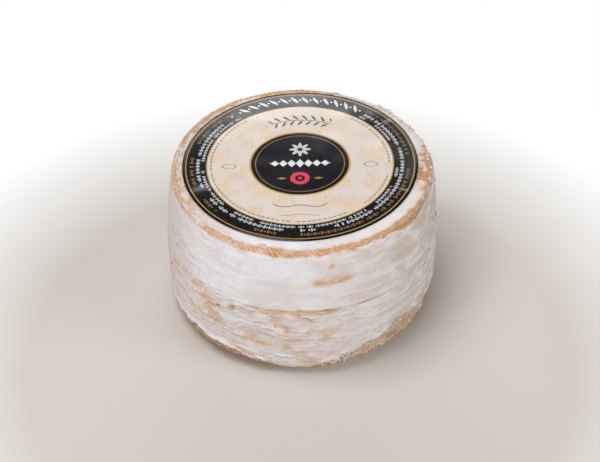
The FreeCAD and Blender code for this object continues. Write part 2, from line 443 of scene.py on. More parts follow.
def rind_relief(angle, station, points):
    """Height of the rind's relief in mm, and the fields that colour it. The coat is thick where it
    covers, with skins, folds and its ridge above the bare foot. Cracks cut in, the rope adds its
    strands along the band, grain and lumps roughen the crust, and crumbs stand up on it."""
    cover, band, tan = coat_cover(angle, station, points)
    crust, ridge, brink_shadow = foot_crust(angle, points)
    flank, smooth, drape, skinned, far_left = coat_lie(angle, station, points[..., 2])
    crumbly, crumbs = crumbly_parts(angle, station, points, flank)
    moved = wandering(points)
    lift, hollow = shelves(moved, 6.0, 111)
    small_lift, small_hollow = shelves(moved, 2.9, 131)
    skins = (0.85 * lift + 0.28 * small_lift) * skinned
    hollows = np.clip(hollow + 0.4 * small_hollow, 0.0, 1.0) * skinned
    # The crack mask cuts the relief and also carries painted shade into the colour.
    crack_shade = shaded_cracks(angle, points, hollows, brink_shadow, flank)

    patch = brushed(moved, 9.0, 5.4, 21, 4)
    wide = brushed(moved, 24.0, 9.0, 31, 3)
    draped = crumple(moved, 23.0, 6.0, 141)
    rough = (1.0 - 0.6 * smooth) * (1.0 - 0.7 * drape)
    shown = cover + (0.42 * patch + 0.22 * wide) * rough + 0.25 * (lift - 0.35) * skinned
    shown = shown + 0.9 * (draped - 0.45) * drape
    shown = shown - 0.60 * hollows - 1.1 * crust + 0.5 * ridge + 0.9 * crumbs + 0.5 * crumbly
    thick = 0.60 * ease(shown, 0.1, 0.95) + 1.2 * ridge
    pleats = folds(moved, 30.0, 9.0, 161) * 0.40 * flank + 2.2 * draped * drape

    rope = rope_marks(angle, station, points)
    strands = band * (0.45 + 0.55 * ease(layered(points / 8.0, 15, 2), -0.5, 0.4))
    bare = 1.0 - ease(shown, 0.2, 0.8)
    grain = layered(points / np.array([3.4, 3.4, 2.2]), 81, 2)
    lumps = np.abs(layered(points / 4.0, 83, 3))
    broad = layered(points / 34.0, 91, 2)
    depth = thick + skins + pleats - 0.45 * crack_shade + 0.55 * (rope - 0.5) * strands
    depth = depth + (0.10 + 0.14 * bare) * grain * rough + 0.45 * broad
    depth = depth - crust * (0.65 - 1.7 * lumps) - 0.6 * brink_shadow + 1.7 * crumbs - 0.8 * crumbly
    tuck = 0.4 * facing(angle, -38.0, 40.0) * (1.0 - ease(points[..., 2], 12.0, 44.0))
    mean_height = 0.6
    depth = depth - mean_height - 1.1 * drape - tuck - 0.7 * far_left * flank
    fields = {"coat": np.clip(shown, 0.0, 1.3), "crack_shade": crack_shade, "rope": rope, "band": tan, "crust": crust,
              "smooth": np.maximum(smooth, 0.5 * drape), "fold": draped, "drape": drape}
    return depth, fields


def hold_down(station, points):
    """Where the relief has to stop: nil on the flat base and under the label, full elsewhere."""
    beyond = np.hypot(points[..., 0], points[..., 1] - LABEL_SHIFT) - LABEL_RADIUS
    on_seat = station > RIM_END
    under_label = np.where(on_seat, ease(beyond, 0.3, 3.0), 1.0)
    return ease(station, FOOT_START, FOOT_START + 5.0) * under_label


def rind_surface(angle, station):
    """The finished rind: the drum moved out along its normals by the held-down relief."""
    points, normal = drum(angle, station)
    depth, fields = rind_relief(angle, station, points)
    points = points + normal * (depth * hold_down(station, points))[..., None]
    points[..., 2] = np.maximum(points[..., 2], 0.0)
    return points, fields


# ---------------------------------------------------------------- meshes

def ring_grid(first, rows, columns):
    """Quads between closed rings: row by row, each column joined to the next one round."""
    row = first + np.arange(rows - 1)[:, None] * columns
    here = np.arange(columns)[None, :]
    there = (here + 1) % columns
    return np.stack([row + here, row + there, row + columns + there, row + columns + here], -1).reshape(-1, 4)


def pole_fan(pole, ring, columns, up):
    """Triangles from one point to a closed ring; 'up' closes the ring's far side."""
    here = ring + np.arange(columns)
    there = ring + (np.arange(columns) + 1) % columns
    middle = np.full(columns, pole)
    return np.stack([here, there, middle] if up else [middle, there, here], -1)


def stitch(coarse, fine, columns, split, fine_above):
    """Triangles between a coarse ring and one divided 'split' times as finely: each coarse corner
    takes the nearer half of the fine edges beside it."""
    corner = np.arange(columns)
    after = (corner + 1) % columns
    half = split // 2
    faces = []
    for step in range(split):
        low = fine + (corner * split + step) % (columns * split)
        high = fine + (corner * split + step + 1) % (columns * split)
        apex = coarse + (corner if step < half else after)
        faces.append(np.stack([apex, high, low] if fine_above else [low, high, apex], -1))
    middle = fine + (corner * split + half) % (columns * split)
    here = coarse + corner
    there = coarse + after
    faces.append(np.stack([here, there, middle] if fine_above else [middle, there, here], -1))
    return np.concatenate(faces)


def build_mesh(name, points, quads, triangles, fields=None, places=None, smooth=True):
    """A mesh from whole arrays, points in mm; fields are numbers kept on its points, and places
    is a flat map, one pair of numbers for each point."""
    mesh = bpy.data.meshes.new(name)
    mesh.vertices.add(len(points))
    mesh.vertices.foreach_set("co", (points * MM).astype(np.float32).ravel())
    corners = np.concatenate([np.asarray(quads).ravel(), np.asarray(triangles).ravel()]).astype(np.int32)
    sides = np.concatenate([np.full(len(quads), 4), np.full(len(triangles), 3)]).astype(np.int32)
    mesh.loops.add(len(corners))
    mesh.loops.foreach_set("vertex_index", corners)
    mesh.polygons.add(len(sides))
    mesh.polygons.foreach_set("loop_start", np.concatenate([[0], np.cumsum(sides)[:-1]]).astype(np.int32))
    mesh.polygons.foreach_set("use_smooth", np.full(len(sides), smooth))
    for field, values in (fields or {}).items():
        mesh.attributes.new(field, "FLOAT", "POINT").data.foreach_set("value", values.astype(np.float32))
    if places is not None:
        layer = mesh.uv_layers.new(name="Print")
        layer.uv.foreach_set("vector", places[corners].astype(np.float32).ravel())
    mesh.update(calc_edges=True)
    mesh.validate()
    return mesh


def add_piece(name, mesh, material):
    """Puts a mesh in the scene as a piece that rides with the wheel."""
    mesh.materials.append(material)
    piece = bpy.data.objects.new(name, mesh)
    bpy.context.scene.collection.objects.link(piece)
    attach(piece, "root")
    return piece


def wheel_mesh():
    """One closed skin in three belts: base, foot and flank; the rim, divided more finely round;
    and the seat. The belts end a fraction of a millimetre apart. Stitches join them there, and fans
    close the two poles."""
    lower = np.concatenate([
        np.linspace(0.0, FOOT_START, 7)[1:-1],
        np.arange(FOOT_START, RIM_START - 1.9, ROW_STEP),
    ])
    rim = np.arange(RIM_START - 1.6, SEAT_START + 0.3, RIM_STEP)
    margin = np.arange(SEAT_START + 0.8, SEAT_START + MARGIN_WIDTH, ROW_STEP)
    upper = np.concatenate([margin, np.linspace(margin[-1] + 6.0, LENGTH[-1], 6)[:-1]])
    belts = [(lower, COLUMNS), (rim, COLUMNS * RIM_SPLIT), (upper, COLUMNS)]
    points, quads, starts, field_sets = [], [], [], []
    first = 0
    for stations, columns in belts:
        angle, station = np.meshgrid(TURN * np.arange(columns) / columns, stations)
        skin, fields = rind_surface(angle, station)
        points.append(skin.reshape(-1, 3))
        quads.append(ring_grid(first, len(stations), columns))
        field_sets.append(fields)
        starts.append(first)
        first += len(stations) * columns
    poles, _ = drum(np.zeros(2), np.array([0.0, LENGTH[-1]]))
    points.append(poles)
    field_sets.append({field: np.zeros(2) for field in fields})
    triangles = [
        pole_fan(first, starts[0], COLUMNS, up=False),
        stitch(starts[1] - COLUMNS, starts[1], COLUMNS, RIM_SPLIT, fine_above=True),
        stitch(starts[2], starts[2] - COLUMNS * RIM_SPLIT, COLUMNS, RIM_SPLIT, fine_above=False),
        pole_fan(first + 1, first - COLUMNS, COLUMNS, up=True),
    ]
    joined = {field: np.concatenate([each[field].ravel() for each in field_sets]) for field in fields}
    return build_mesh("wheel_rind", np.concatenate(points), np.concatenate(quads),
                      np.concatenate(triangles), joined)


def lens():
    """A thin closed lens of unit size: a middle point, an inner ring and a sharp outer ring above,
    and the inner ring and middle again below. Its height is 0.7 at the inner rings."""
    around = TURN * np.arange(LENS_SIDES) / LENS_SIDES
    ring = np.stack([np.cos(around), np.sin(around)], 1)
    flat = np.concatenate([[[0.0, 0.0]], ring * 0.55, ring, ring * 0.55, [[0.0, 0.0]]])
    inner = np.full(LENS_SIDES, 0.7)
    side = np.concatenate([[1.0], inner, np.zeros(LENS_SIDES), -inner, [-1.0]])
    points = np.column_stack([flat, side])
    lower_ring = 1 + 2 * LENS_SIDES
    lower_pole = 1 + 3 * LENS_SIDES
    quads = ring_grid(1, 3, LENS_SIDES)[:, ::-1]
    triangles = np.concatenate([
        pole_fan(0, 1, LENS_SIDES, up=False),
        pole_fan(lower_pole, lower_ring, LENS_SIDES, up=True),
    ])[:, ::-1]
    return points, quads, triangles


def scatter(name, places, sizes, lift, seed, fields):
    """Many small lenses as one mesh, each lying on the rind. Its three sizes are along the wheel,
    up the side and out from it; its outline is pulled about by chance, it curls with the square
    of its length, and it tips away from the rind by a slope of its own."""
    chance_of = np.random.default_rng(seed)
    shape, quads, triangles = lens()
    count = len(sizes)
    angle, station = places
    ground, _ = rind_surface(angle, station)
    _, normal = drum(angle, station)
    along = np.stack([-np.sin(angle), np.cos(angle), np.zeros(count)], -1)
    up = np.cross(normal, along)
    local = shape[None] * sizes[:, None, :]
    ragged = 1.0 + chance_of.normal(0.0, 0.22, (count, len(shape), 1)) * (np.abs(shape[:, 2:]) < 0.8)
    local = local * np.concatenate([ragged, ragged, np.ones_like(ragged)], -1)
    spin = chance_of.normal(0.0, 0.35, (count, 1))
    turned_x = local[..., 0] * np.cos(spin) - local[..., 1] * np.sin(spin)
    turned_y = local[..., 0] * np.sin(spin) + local[..., 1] * np.cos(spin)
    tip = chance_of.normal(0.0, 0.13, (count, 2))
    curl = np.abs(chance_of.normal(0.0, 0.06, (count, 1)))
    out = local[..., 2] + turned_x * tip[:, :1] + turned_y * tip[:, 1:] + curl * turned_x ** 2
    out = out + lift[:, None]
    points = (ground[:, None] + along[:, None] * turned_x[..., None] + up[:, None] * turned_y[..., None]
              + normal[:, None] * out[..., None]).reshape(-1, 3)
    points[:, 2] = np.maximum(points[:, 2], 0.02)
    first = (np.arange(count) * len(shape))[:, None, None]
    quads = (quads[None] + first).reshape(-1, 4)
    triangles = (triangles[None] + first).reshape(-1, 3)
    spread = {field: np.full(len(points), value) for field, value in fields.items()}
    return build_mesh(name, points, quads, triangles, spread, smooth=False)


def flake_mesh():
    """Loose scales of white coat, one and a half to three times as long as they are high. Their
    angles and heights are drawn as bell curves about the middle of each zone."""
    chance_of = np.random.default_rng(11)
    angles, stations = [], []
    for count, degrees, spread, height, height_spread in FLAKE_ZONES:
        angles.append(np.radians(chance_of.normal(degrees, spread, count)))
        level = np.clip(chance_of.normal(height, height_spread, count), 4.0, WHEEL_HEIGHT + 2.0)
        stations.append(FLANK_START + (level - FOOT_ROUND))
    angle = np.concatenate(angles)
    station = np.concatenate(stations)
    count = len(angle)
    half_length = chance_of.uniform(0.5, 1.9, count)
    half_height = half_length * chance_of.uniform(0.35, 0.65, count)
    sizes = np.stack([half_length, half_height, np.full(count, 0.14)], -1)
    lift = chance_of.uniform(0.0, 0.25, count)
    fields = {**LOOSE_FIELDS, "coat": 1.05}
    return scatter("loose_flakes", (angle, station), sizes, lift, 12, fields)


def crumb_mesh():
    """Tan crumbs of crust: drawn evenly round the rim's band, and about the right front of the
    foot, where they lie low."""
    chance_of = np.random.default_rng(21)
    rim_count, foot_count = 420, 380
    angle = np.concatenate([chance_of.uniform(0.0, TURN, rim_count),
                            np.radians(chance_of.normal(-35.0, 45.0, foot_count))])
    station = np.concatenate([chance_of.normal(RIM_MIDDLE, 2.2, rim_count),
                              chance_of.uniform(FOOT_START + 4.0, FLANK_START + 4.0, foot_count)])
    count = len(angle)
    size = chance_of.uniform(0.25, 0.7, count)
    sizes = np.stack([size, size * chance_of.uniform(0.7, 1.0, count), size * 0.6], -1)
    fields = {**LOOSE_FIELDS, "coat": 0.25, "rope": 0.7, "band": 0.5, "crust": 0.3}
    return scatter("crust_crumbs", (angle, station), sizes, np.full(count, 0.05), 22, fields)


def label_mesh():
    """The paper disc: rings of points out to its edge, a turned edge and an underside. The sheet
    follows the tipped seat and rises in long waves and a few short radial puckers at its edge."""
    rings = np.linspace(0.02, 1.0, LABEL_RINGS) * LABEL_RADIUS
    angle, reach = np.meshgrid(TURN * np.arange(LABEL_COLUMNS) / LABEL_COLUMNS, rings)
    x = reach * np.cos(angle)
    y = reach * np.sin(angle) + LABEL_SHIFT
    flat = np.stack([x, y, np.zeros_like(x)], -1)
    waves = 0.20 * noise(flat / 34.0, 101) + 0.07 * noise(flat / 14.0, 103)
    around = np.stack([angle * 5, np.zeros_like(x), np.zeros_like(x)], -1)
    pucker = 0.22 * ease(reach / LABEL_RADIUS, 0.72, 1.0) * ease(noise(around, 107), 0.3, 0.9)
    lift = LABEL_LIFT + waves + pucker
    seat = WHEEL_HEIGHT - SEAT_DEPTH + np.tan(SLANT) * x
    top = np.stack([x, y, seat + LABEL_THICKNESS + lift], -1)
    under = np.stack([x, y, seat + LABEL_CLEARANCE + lift], -1)[::-1]
    poles = [[0.0, LABEL_SHIFT, top[0, :, 2].mean()], [0.0, LABEL_SHIFT, under[-1, :, 2].mean()]]
    points = np.concatenate([top.reshape(-1, 3), under.reshape(-1, 3), poles])
    quads = ring_grid(0, 2 * LABEL_RINGS, LABEL_COLUMNS)[:, ::-1]
    top_pole = 2 * LABEL_RINGS * LABEL_COLUMNS
    triangles = np.concatenate([
        pole_fan(top_pole, 0, LABEL_COLUMNS, up=False)[:, ::-1],
        pole_fan(top_pole + 1, top_pole - LABEL_COLUMNS, LABEL_COLUMNS, up=True)[:, ::-1],
    ])
    places = (points[:, :2] - np.array([0.0, LABEL_SHIFT])) / (2 * LABEL_RADIUS) + 0.5
    return build_mesh("label_sheet", points, quads, triangles, places=places)


# ---------------------------------------------------------------- node arithmetic

class Term:
    """A number worked out by a material's nodes, so that a pattern can be written as arithmetic.
    Each sign and each short method adds one Math node."""

    def __init__(self, tree, socket):
        self.tree = tree
        self.socket = socket

    def maths(self, operation, *others, clamp=False):
        """A Math node on this number and the others, which may be plain numbers."""
        node = self.tree.nodes.new("ShaderNodeMath")
        node.operation = operation
        node.use_clamp = clamp
        for place, value in enumerate((self, *others)):
            if isinstance(value, Term):
                self.tree.links.new(value.socket, node.inputs[place])
            else:
                node.inputs[place].default_value = value
        return Term(self.tree, node.outputs[0])

    def __add__(self, other):
        return self.maths("ADD", other)

    def __sub__(self, other):
        return self.maths("SUBTRACT", other)

    def __mul__(self, other):
        return self.maths("MULTIPLY", other)

    def __truediv__(self, other):
        return self.maths("DIVIDE", other)

    def size(self):
        return self.maths("ABSOLUTE")

    def squared(self):
        return self.maths("POWER", 2.0)

    def root(self):
        return self.maths("SQRT")

    def cosine(self):
        return self.maths("COSINE")

    def whole(self):
        return self.maths("FLOOR")

    def most(self, other):
        return self.maths("MAXIMUM", other)

    def over(self, edge, soft):
        """1 above an edge, 0 below it, with a short ramp."""
        return self.maths("MULTIPLY_ADD", 1.0 / soft, 0.5 - edge / soft, clamp=True)

    def under(self, edge, soft):
        """1 below an edge, 0 above it, with a short ramp."""
        return self.maths("MULTIPLY_ADD", -1.0 / soft, 0.5 + edge / soft, clamp=True)

    def between(self, low, high, soft):
        """1 between two edges, 0 outside them, with a short ramp at each."""
        return self.over(low, soft) * self.under(high, soft)


def tint(red, green, blue):
    """A colour given as on a screen, 0 to 255, as the linear one that nodes take."""
    parts = [value / 255.0 for value in (red, green, blue)]
    return tuple(p / 12.92 if p <= 0.04045 else ((p + 0.055) / 1.055) ** 2.4 for p in parts) + (1.0,)


def new_material(name):
    """A material with its node tree and its main shader."""
    material = bpy.data.materials.new(name)
    material.use_nodes = True
    tree = material.node_tree
    return material, tree, tree.nodes["Principled BSDF"]


def mix(tree, share, first, second):
    """A colour between two, nodes' outputs or plain colours: at share 0 the first, at 1 the second."""
    node = tree.nodes.new("ShaderNodeMix")
    node.data_type = "RGBA"
    if isinstance(share, Term):
        tree.links.new(share.socket, node.inputs["Factor"])
    else:
        node.inputs["Factor"].default_value = share
    first_place, second_place, colour_result = 6, 7, 2
    for place, colour in ((first_place, first), (second_place, second)):
        if isinstance(colour, tuple):
            node.inputs[place].default_value = colour
        else:
            tree.links.new(colour, node.inputs[place])
    return node.outputs[colour_result]


def field_term(tree, name):
    """One of the numbers kept on the mesh's points."""
    node = tree.nodes.new("ShaderNodeAttribute")
    node.attribute_name = name
    return Term(tree, node.outputs["Fac"])


def grain_term(tree, stretch, detail=3.0, rough=0.55, warp=0.0):
    """Noise on the object's own coordinates, 0 to 1; stretch is cells per metre along each axis."""
    place = tree.nodes.new("ShaderNodeTexCoord")
    scale = tree.nodes.new("ShaderNodeMapping")
    scale.inputs["Scale"].default_value = stretch
    tree.links.new(place.outputs["Object"], scale.inputs["Vector"])
    node = tree.nodes.new("ShaderNodeTexNoise")
    node.inputs["Scale"].default_value = 1.0
    node.inputs["Detail"].default_value = detail
    node.inputs["Roughness"].default_value = rough
    node.inputs["Distortion"].default_value = warp
    tree.links.new(scale.outputs["Vector"], node.inputs["Vector"])
    return Term(tree, node.outputs["Fac"])


def bump(tree, shader, height, distance):
    """Fine relief on a shader: a height of 0 to 1, over a distance in metres."""
    node = tree.nodes.new("ShaderNodeBump")
    node.inputs["Strength"].default_value = 1.0
    node.inputs["Distance"].default_value = distance
    tree.links.new(height.socket, node.inputs["Height"])
    tree.links.new(node.outputs["Normal"], shader.inputs["Normal"])


def axis_share(tree, axis, start, end):
    """How far a point lies between two places along an axis, 0 to 1, from the object's coordinates."""
    place = tree.nodes.new("ShaderNodeTexCoord")
    parts = tree.nodes.new("ShaderNodeSeparateXYZ")
    tree.links.new(place.outputs["Object"], parts.inputs["Vector"])
    return Term(tree, parts.outputs[axis]).over((start + end) / 2, end - start)


# ---------------------------------------------------------------- finishes

def rind_grain(tree):
    """The rind's six noises, from the finest grain to the widest shading; the higher the third
    number of a stretch, the more its patches are drawn out level."""
    return {
        "fine": grain_term(tree, (430.0, 430.0, 560.0), 4.0, 0.65),
        "pits": grain_term(tree, (480.0, 480.0, 480.0), 2.5, 0.6),
        "streak": grain_term(tree, (105.0, 105.0, 200.0), 5.0, 0.62, 0.6),
        "blotch": grain_term(tree, (90.0, 90.0, 150.0), 3.0, 0.5),
        "cloud": grain_term(tree, (45.0, 45.0, 45.0), 3.0, 0.55),
        "wide": grain_term(tree, (30.0, 30.0, 55.0), 3.0, 0.55),
    }


def rope_crust_colour(tree, grain, rope):
    """The crust of the rope band: orange-brown valleys painted darker as shade and tan strand crests
    painted lighter as highlight, broken up by noise; with paler clouds, browner blotches to +X and
    a duller end to -X."""
    # Painted shade in the rope's valleys and painted highlight on its strands, mixed with random mottle.
    strand_light_and_mottle = (rope * 0.8 + (grain["fine"] - 0.5) * 1.8 + (grain["blotch"] - 0.5) * 0.8).over(0.45, 0.8)
    colour = mix(tree, strand_light_and_mottle, tint(183, 129, 82), tint(222, 181, 131))
    colour = mix(tree, grain["cloud"].over(0.55, 0.2) * 0.5, colour, tint(218, 188, 164))
    right = axis_share(tree, "X", 0.045, 0.08) * grain["blotch"].under(0.6, 0.2)
    colour = mix(tree, right * 0.5, colour, tint(172, 122, 80))
    return mix(tree, axis_share(tree, "X", -0.04, -0.075) * 0.5, colour, tint(194, 164, 144))


def coat_colour(tree, grain, band, fold, drape):
    """The white coat: off-white blotches with cool clouds and warm wide shading, warmer to +X,
    tanner over the band and duller at the far left. Where it is draped, the hollows between its
    folds get a brownish painted shade and the ridges a whiter painted highlight."""
    colour = mix(tree, grain["blotch"].over(0.5, 0.3), tint(224, 222, 230), tint(232, 229, 231))
    colour = mix(tree, grain["cloud"].over(0.56, 0.14) * 0.45, colour, tint(208, 203, 209))
    colour = mix(tree, grain["wide"].over(0.55, 0.12) * 0.45, colour, tint(221, 207, 198))
    colour = mix(tree, axis_share(tree, "X", -0.02, 0.085) * 0.6, colour, tint(224, 216, 207))
    colour = mix(tree, band.over(0.3, 0.5) * 0.6, colour, tint(214, 192, 176))
    # Painted shade in the hollows of the draped folds.
    colour = mix(tree, fold.under(0.58, 0.48) * drape * 0.9, colour, tint(201, 185, 170))
    # Painted highlight on the crests of the draped folds.
    colour = mix(tree, fold.over(0.72, 0.2) * drape * 0.6, colour, tint(227, 228, 232))
    return mix(tree, axis_share(tree, "X", -0.070, -0.095), colour, tint(212, 201, 200))


def foot_colour(tree, grain):
    """The bare grainy foot: pale grains between brown pits, with orange blotches, brown clouds,
    dark streaks and a greyer upper part; to -X it is orange-brown with dark pits."""
    colour = mix(tree, grain["pits"].over(0.48, 0.16), tint(156, 128, 104), tint(246, 230, 208))
    colour = mix(tree, grain["blotch"].over(0.50, 0.16) * 0.65, colour, tint(226, 188, 140))
    colour = mix(tree, grain["cloud"].over(0.54, 0.16) * 0.4, colour, tint(176, 146, 118))
    colour = mix(tree, axis_share(tree, "Z", 0.010, 0.022) * 0.4, colour, tint(198, 182, 166))
    colour = mix(tree, grain["streak"].under(0.44, 0.08) * 0.5, colour, tint(136, 104, 80))
    left = mix(tree, grain["pits"].over(0.58, 0.1) * 0.8, tint(204, 164, 128), tint(136, 100, 76))
    return mix(tree, axis_share(tree, "X", 0.02, -0.03), colour, left)


def rind_material():
    """The rind: bare crust, a thin pinkish veil and the full white coat, chosen by how much coat
    lies there and by fine noise, then brown specks, the grainy foot, and a browner colour in the
    cracks that is partly the crust's own and partly painted shade and painted shadow. It is
    duller where it is bare, and bumped by the same noises."""
    material, tree, shader = new_material("rind")
    coat, crack_shade, rope, band, crusty, drape, smooth, fold = (
        field_term(tree, name)
        for name in ("coat", "crack_shade", "rope", "band", "crust", "drape", "smooth", "fold"))
    grain = rind_grain(tree)
    fine, streak, pits = grain["fine"], grain["streak"], grain["pits"]
    uneven = smooth * -0.80 + 1.0
    shown = coat + ((fine - 0.5) * 0.75 + (streak - 0.5) * 0.95) * uneven
    fold = fold + (fine - 0.5) * 0.5 + (streak - 0.5) * 0.6

    crust = mix(tree, grain["blotch"].over(0.5, 0.3), tint(216, 192, 168), tint(204, 162, 122))
    crust = mix(tree, band.over(0.5, 0.8), crust, rope_crust_colour(tree, grain, rope))
    veil = mix(tree, streak.over(0.5, 0.4), tint(218, 202, 195), tint(222, 210, 206))
    colour = mix(tree, shown.over(0.22, 0.46), crust, veil)
    colour = mix(tree, shown.over(0.70, 0.44), colour, coat_colour(tree, grain, band, fold, drape))
    specks = pits.over(0.66, 0.05) * shown.under(0.55, 0.3) * 0.8
    colour = mix(tree, specks, colour, tint(164, 122, 88))
    foot = (crusty + (fine - 0.5) * 0.8).over(0.5, 0.7) * 0.92
    colour = mix(tree, foot, colour, foot_colour(tree, grain))
    # Browner in the cracks: partly the crust's own colour, partly painted shade under the skins' lips, in the
    # seam and under the ridge above the foot.
    colour = mix(tree, crack_shade * 1.1, colour, tint(150, 104, 78))
    tree.links.new(colour, shader.inputs["Base Color"])
    rough = coat * -0.14 + 0.72
    tree.links.new(rough.socket, shader.inputs["Roughness"])
    shader.inputs["Specular IOR Level"].default_value = 0.4
    relief = (fine * 0.6 + streak * 1.1) * uneven + grain["cloud"] * 0.8 + pits * crusty * 1.6
    bump(tree, shader, relief, 0.0011)
    return material


def label_material():
    """The printed paper: see label_print for the design; glossy, so that it mirrors the studio."""
    material, tree, shader = new_material("label_paper")
    tree.links.new(label_print(tree), shader.inputs["Base Color"])
    shader.inputs["Roughness"].default_value = 0.10
    shader.inputs["IOR"].default_value = 1.5
    return material


def chance(cells, stretch, offset):
    """A number from 0 to 1 for each whole number: the part left over from a large sine."""
    value = (cells * stretch + offset).maths("SINE") * 43758.5453
    return value - value.whole()


def spokes(turn, radius, count, middle, half_length, half_width, lean=0.0, reach=1e6):
    """Pointed leaves set round a circle: in each sector the half width falls with the square of
    the distance from the leaf's middle, and the leaves lean as they go out. Only the sectors
    within 'reach' of the top are filled."""
    cell = turn * (count / TURN) + (radius - middle) * lean
    side = (cell - cell.whole() - 0.5) * (TURN / count) * middle
    out = radius - middle
    limit = (out * out) * (-half_width / half_length ** 2) + half_width
    near = (cell.whole() + 0.5).size().under(reach, 0.01)
    return (limit - side.size()).over(0.0, PRINT_SOFT) * near


def dashes(turn, radius, count, middle, half_height, fill, seed):
    """A ring of fine upright dashes, by turns tall and short, in uneven groups: sectors are kept
    by chance, and longer sectors of seven leave gaps between the groups."""
    cell = turn * (count / TURN)
    index = cell.whole()
    group = chance((cell / 7.0).whole(), 7.13, seed)
    on = chance(index, 12.9898, seed + 1.7).under(fill, 0.02) * group.over(0.22, 0.02)
    bar = ((cell - index) - 0.5).size().under(0.34, 0.14)
    tall = (index * math.pi).cosine() * (0.25 * half_height) + 0.75 * half_height
    return bar * on * (tall - (radius - middle).size()).over(0.0, PRINT_SOFT)


def label_print(tree):
    """A generic design in black, cream and gold, worked out from the flat map: its radius and its
    angle from the top, both as numbers, give rings, leaves, dashes and a round medallion."""
    place = tree.nodes.new("ShaderNodeUVMap")
    place.uv_map = "Print"
    parts = tree.nodes.new("ShaderNodeSeparateXYZ")
    tree.links.new(place.outputs["UV"], parts.inputs["Vector"])
    across = (Term(tree, parts.outputs["X"]) - 0.5) * 2.0
    upward = (Term(tree, parts.outputs["Y"]) - 0.5) * 2.0
    radius = (across * across + upward * upward).root()
    turn = across.maths("ARCTAN2", upward)
    colour = cream_field(tree, across, upward, radius, turn)
    colour = black_ring(tree, colour, radius, turn)
    return medallion(tree, colour, across, upward, radius)


def peach_blocks(across, upward):
    """A faint pattern of square blocks, kept by chance. Smaller cells in them, also by chance, are
    hatched level, hatched upright, full or plain."""
    row = (upward * 9.0).whole()
    brick = (across * 9.0 + chance(row, 4.7, 1.0) * 3.0).whole()
    pick = chance(brick + row * 6.1, 12.9898, 0.0)
    small_row = (upward * 21.0).whole()
    small_brick = (across * 24.0 + chance(small_row, 3.1, 5.0) * 4.0).whole()
    small = chance(small_brick + small_row * 5.3, 9.17, 2.0)
    level_lines = (upward * 190.0).cosine().over(-0.2, 1.0)
    upright_lines = (across * 150.0).cosine().over(0.0, 1.0)
    hatched = small.under(0.35, 0.05) * level_lines + small.between(0.35, 0.62, 0.05) * upright_lines
    return pick.over(0.45, 0.05) * (hatched * 0.60 + small.over(0.8, 0.05) * 0.55 + 0.18)


def leafy_branch(turn, radius):
    """A stem along an arc at the top, with a row of leaves leaning out along each side of it."""
    above = turn.size().under(0.44, 0.04)
    stem = (radius - 0.600).size().under(0.004, PRINT_SOFT) * above
    outer = spokes(turn, radius, 50, 0.640, 0.036, 0.013, 9.0) * above
    inner = spokes(turn + 0.06, radius, 50, 0.562, 0.034, 0.012, -9.0) * above
    return stem.most(outer).most(inner)


def scrolls(turn, radius):
    """Two thin lines at the bottom: arcs whose radius swings with a cosine of the angle."""
    long = (radius - 0.57 - (turn * 11.0).cosine() * 0.020).size().under(0.005, PRINT_SOFT)
    long = long * turn.size().over(2.74, 0.03)
    short = (radius - 0.68 - (turn * 13.0).cosine() * 0.015).size().under(0.004, PRINT_SOFT)
    short = short * turn.size().over(2.9, 0.03)
    return (long * 0.8).most(short * 0.6)


def side_ovals(across, upward):
    """A small thin oval at each side: where the distance from its middle, with the way across
    divided by 1.9, is near its half height."""
    far = (((across.size() - 0.60) / 1.9).squared() + (upward + 0.03).squared()).root()
    return (far - 0.030).size().under(0.003, PRINT_SOFT) * 0.7


def cream_field(tree, across, upward, radius, turn):
    """Cream paper with faint peach blocks, a leafy branch above, two thin scrolls below, a small
    oval at each side, and a ring of fine dark dashes near its edge."""
    faded = grain_term(tree, (22.0, 22.0, 22.0), 3.0, 0.6)
    peach = peach_blocks(across, upward) * faded.over(0.44, 0.25)
    colour = mix(tree, peach, tint(223, 211, 200), tint(227, 192, 142))
    colour = mix(tree, faded.over(0.56, 0.3) * 0.35, colour, tint(216, 208, 206))
    ink = leafy_branch(turn, radius).most(scrolls(turn, radius)).most(side_ovals(across, upward))
    colour = mix(tree, ink, colour, tint(78, 66, 58))
    fine = dashes(turn, radius, 220.0, 0.757, 0.009, 0.9, 0.3) * turn.size().over(0.62, 0.02)
    return mix(tree, fine * 0.75, colour, tint(78, 68, 62))


def black_ring(tree, field, radius, turn):
    """The broad black ring: tall white leaves over the top arc, rows of white and dull gold dashes
    round the rest, and a gold line along each edge."""
    colour = mix(tree, radius.over(0.792, PRINT_SOFT), field, tint(22, 20, 22))
    tall = spokes(turn, radius, 60, 0.893, 0.046, 0.017, 7.0, 6.0)
    berries = spokes(turn + TURN / 120, radius, 60, 0.893, 0.012, 0.010, 0.0, 7.0)
    colour = mix(tree, tall.most(berries), colour, tint(216, 219, 222))
    sides = turn.size().over(0.68, 0.02)
    white = dashes(turn, radius, 250.0, 0.868, 0.017, 0.92, 1.1)
    white = white.most(dashes(turn, radius, 290.0, 0.826, 0.014, 0.9, 5.2)) * sides
    colour = mix(tree, white * 0.85, colour, tint(212, 214, 218))
    dull = dashes(turn, radius, 210.0, 0.920, 0.016, 0.88, 2.9) * sides
    colour = mix(tree, dull * 0.75, colour, tint(146, 116, 76))
    lines = radius.between(0.966, 0.975, PRINT_SOFT).most(radius.between(0.788, 0.797, PRINT_SOFT))
    return mix(tree, lines, colour, tint(186, 150, 84))


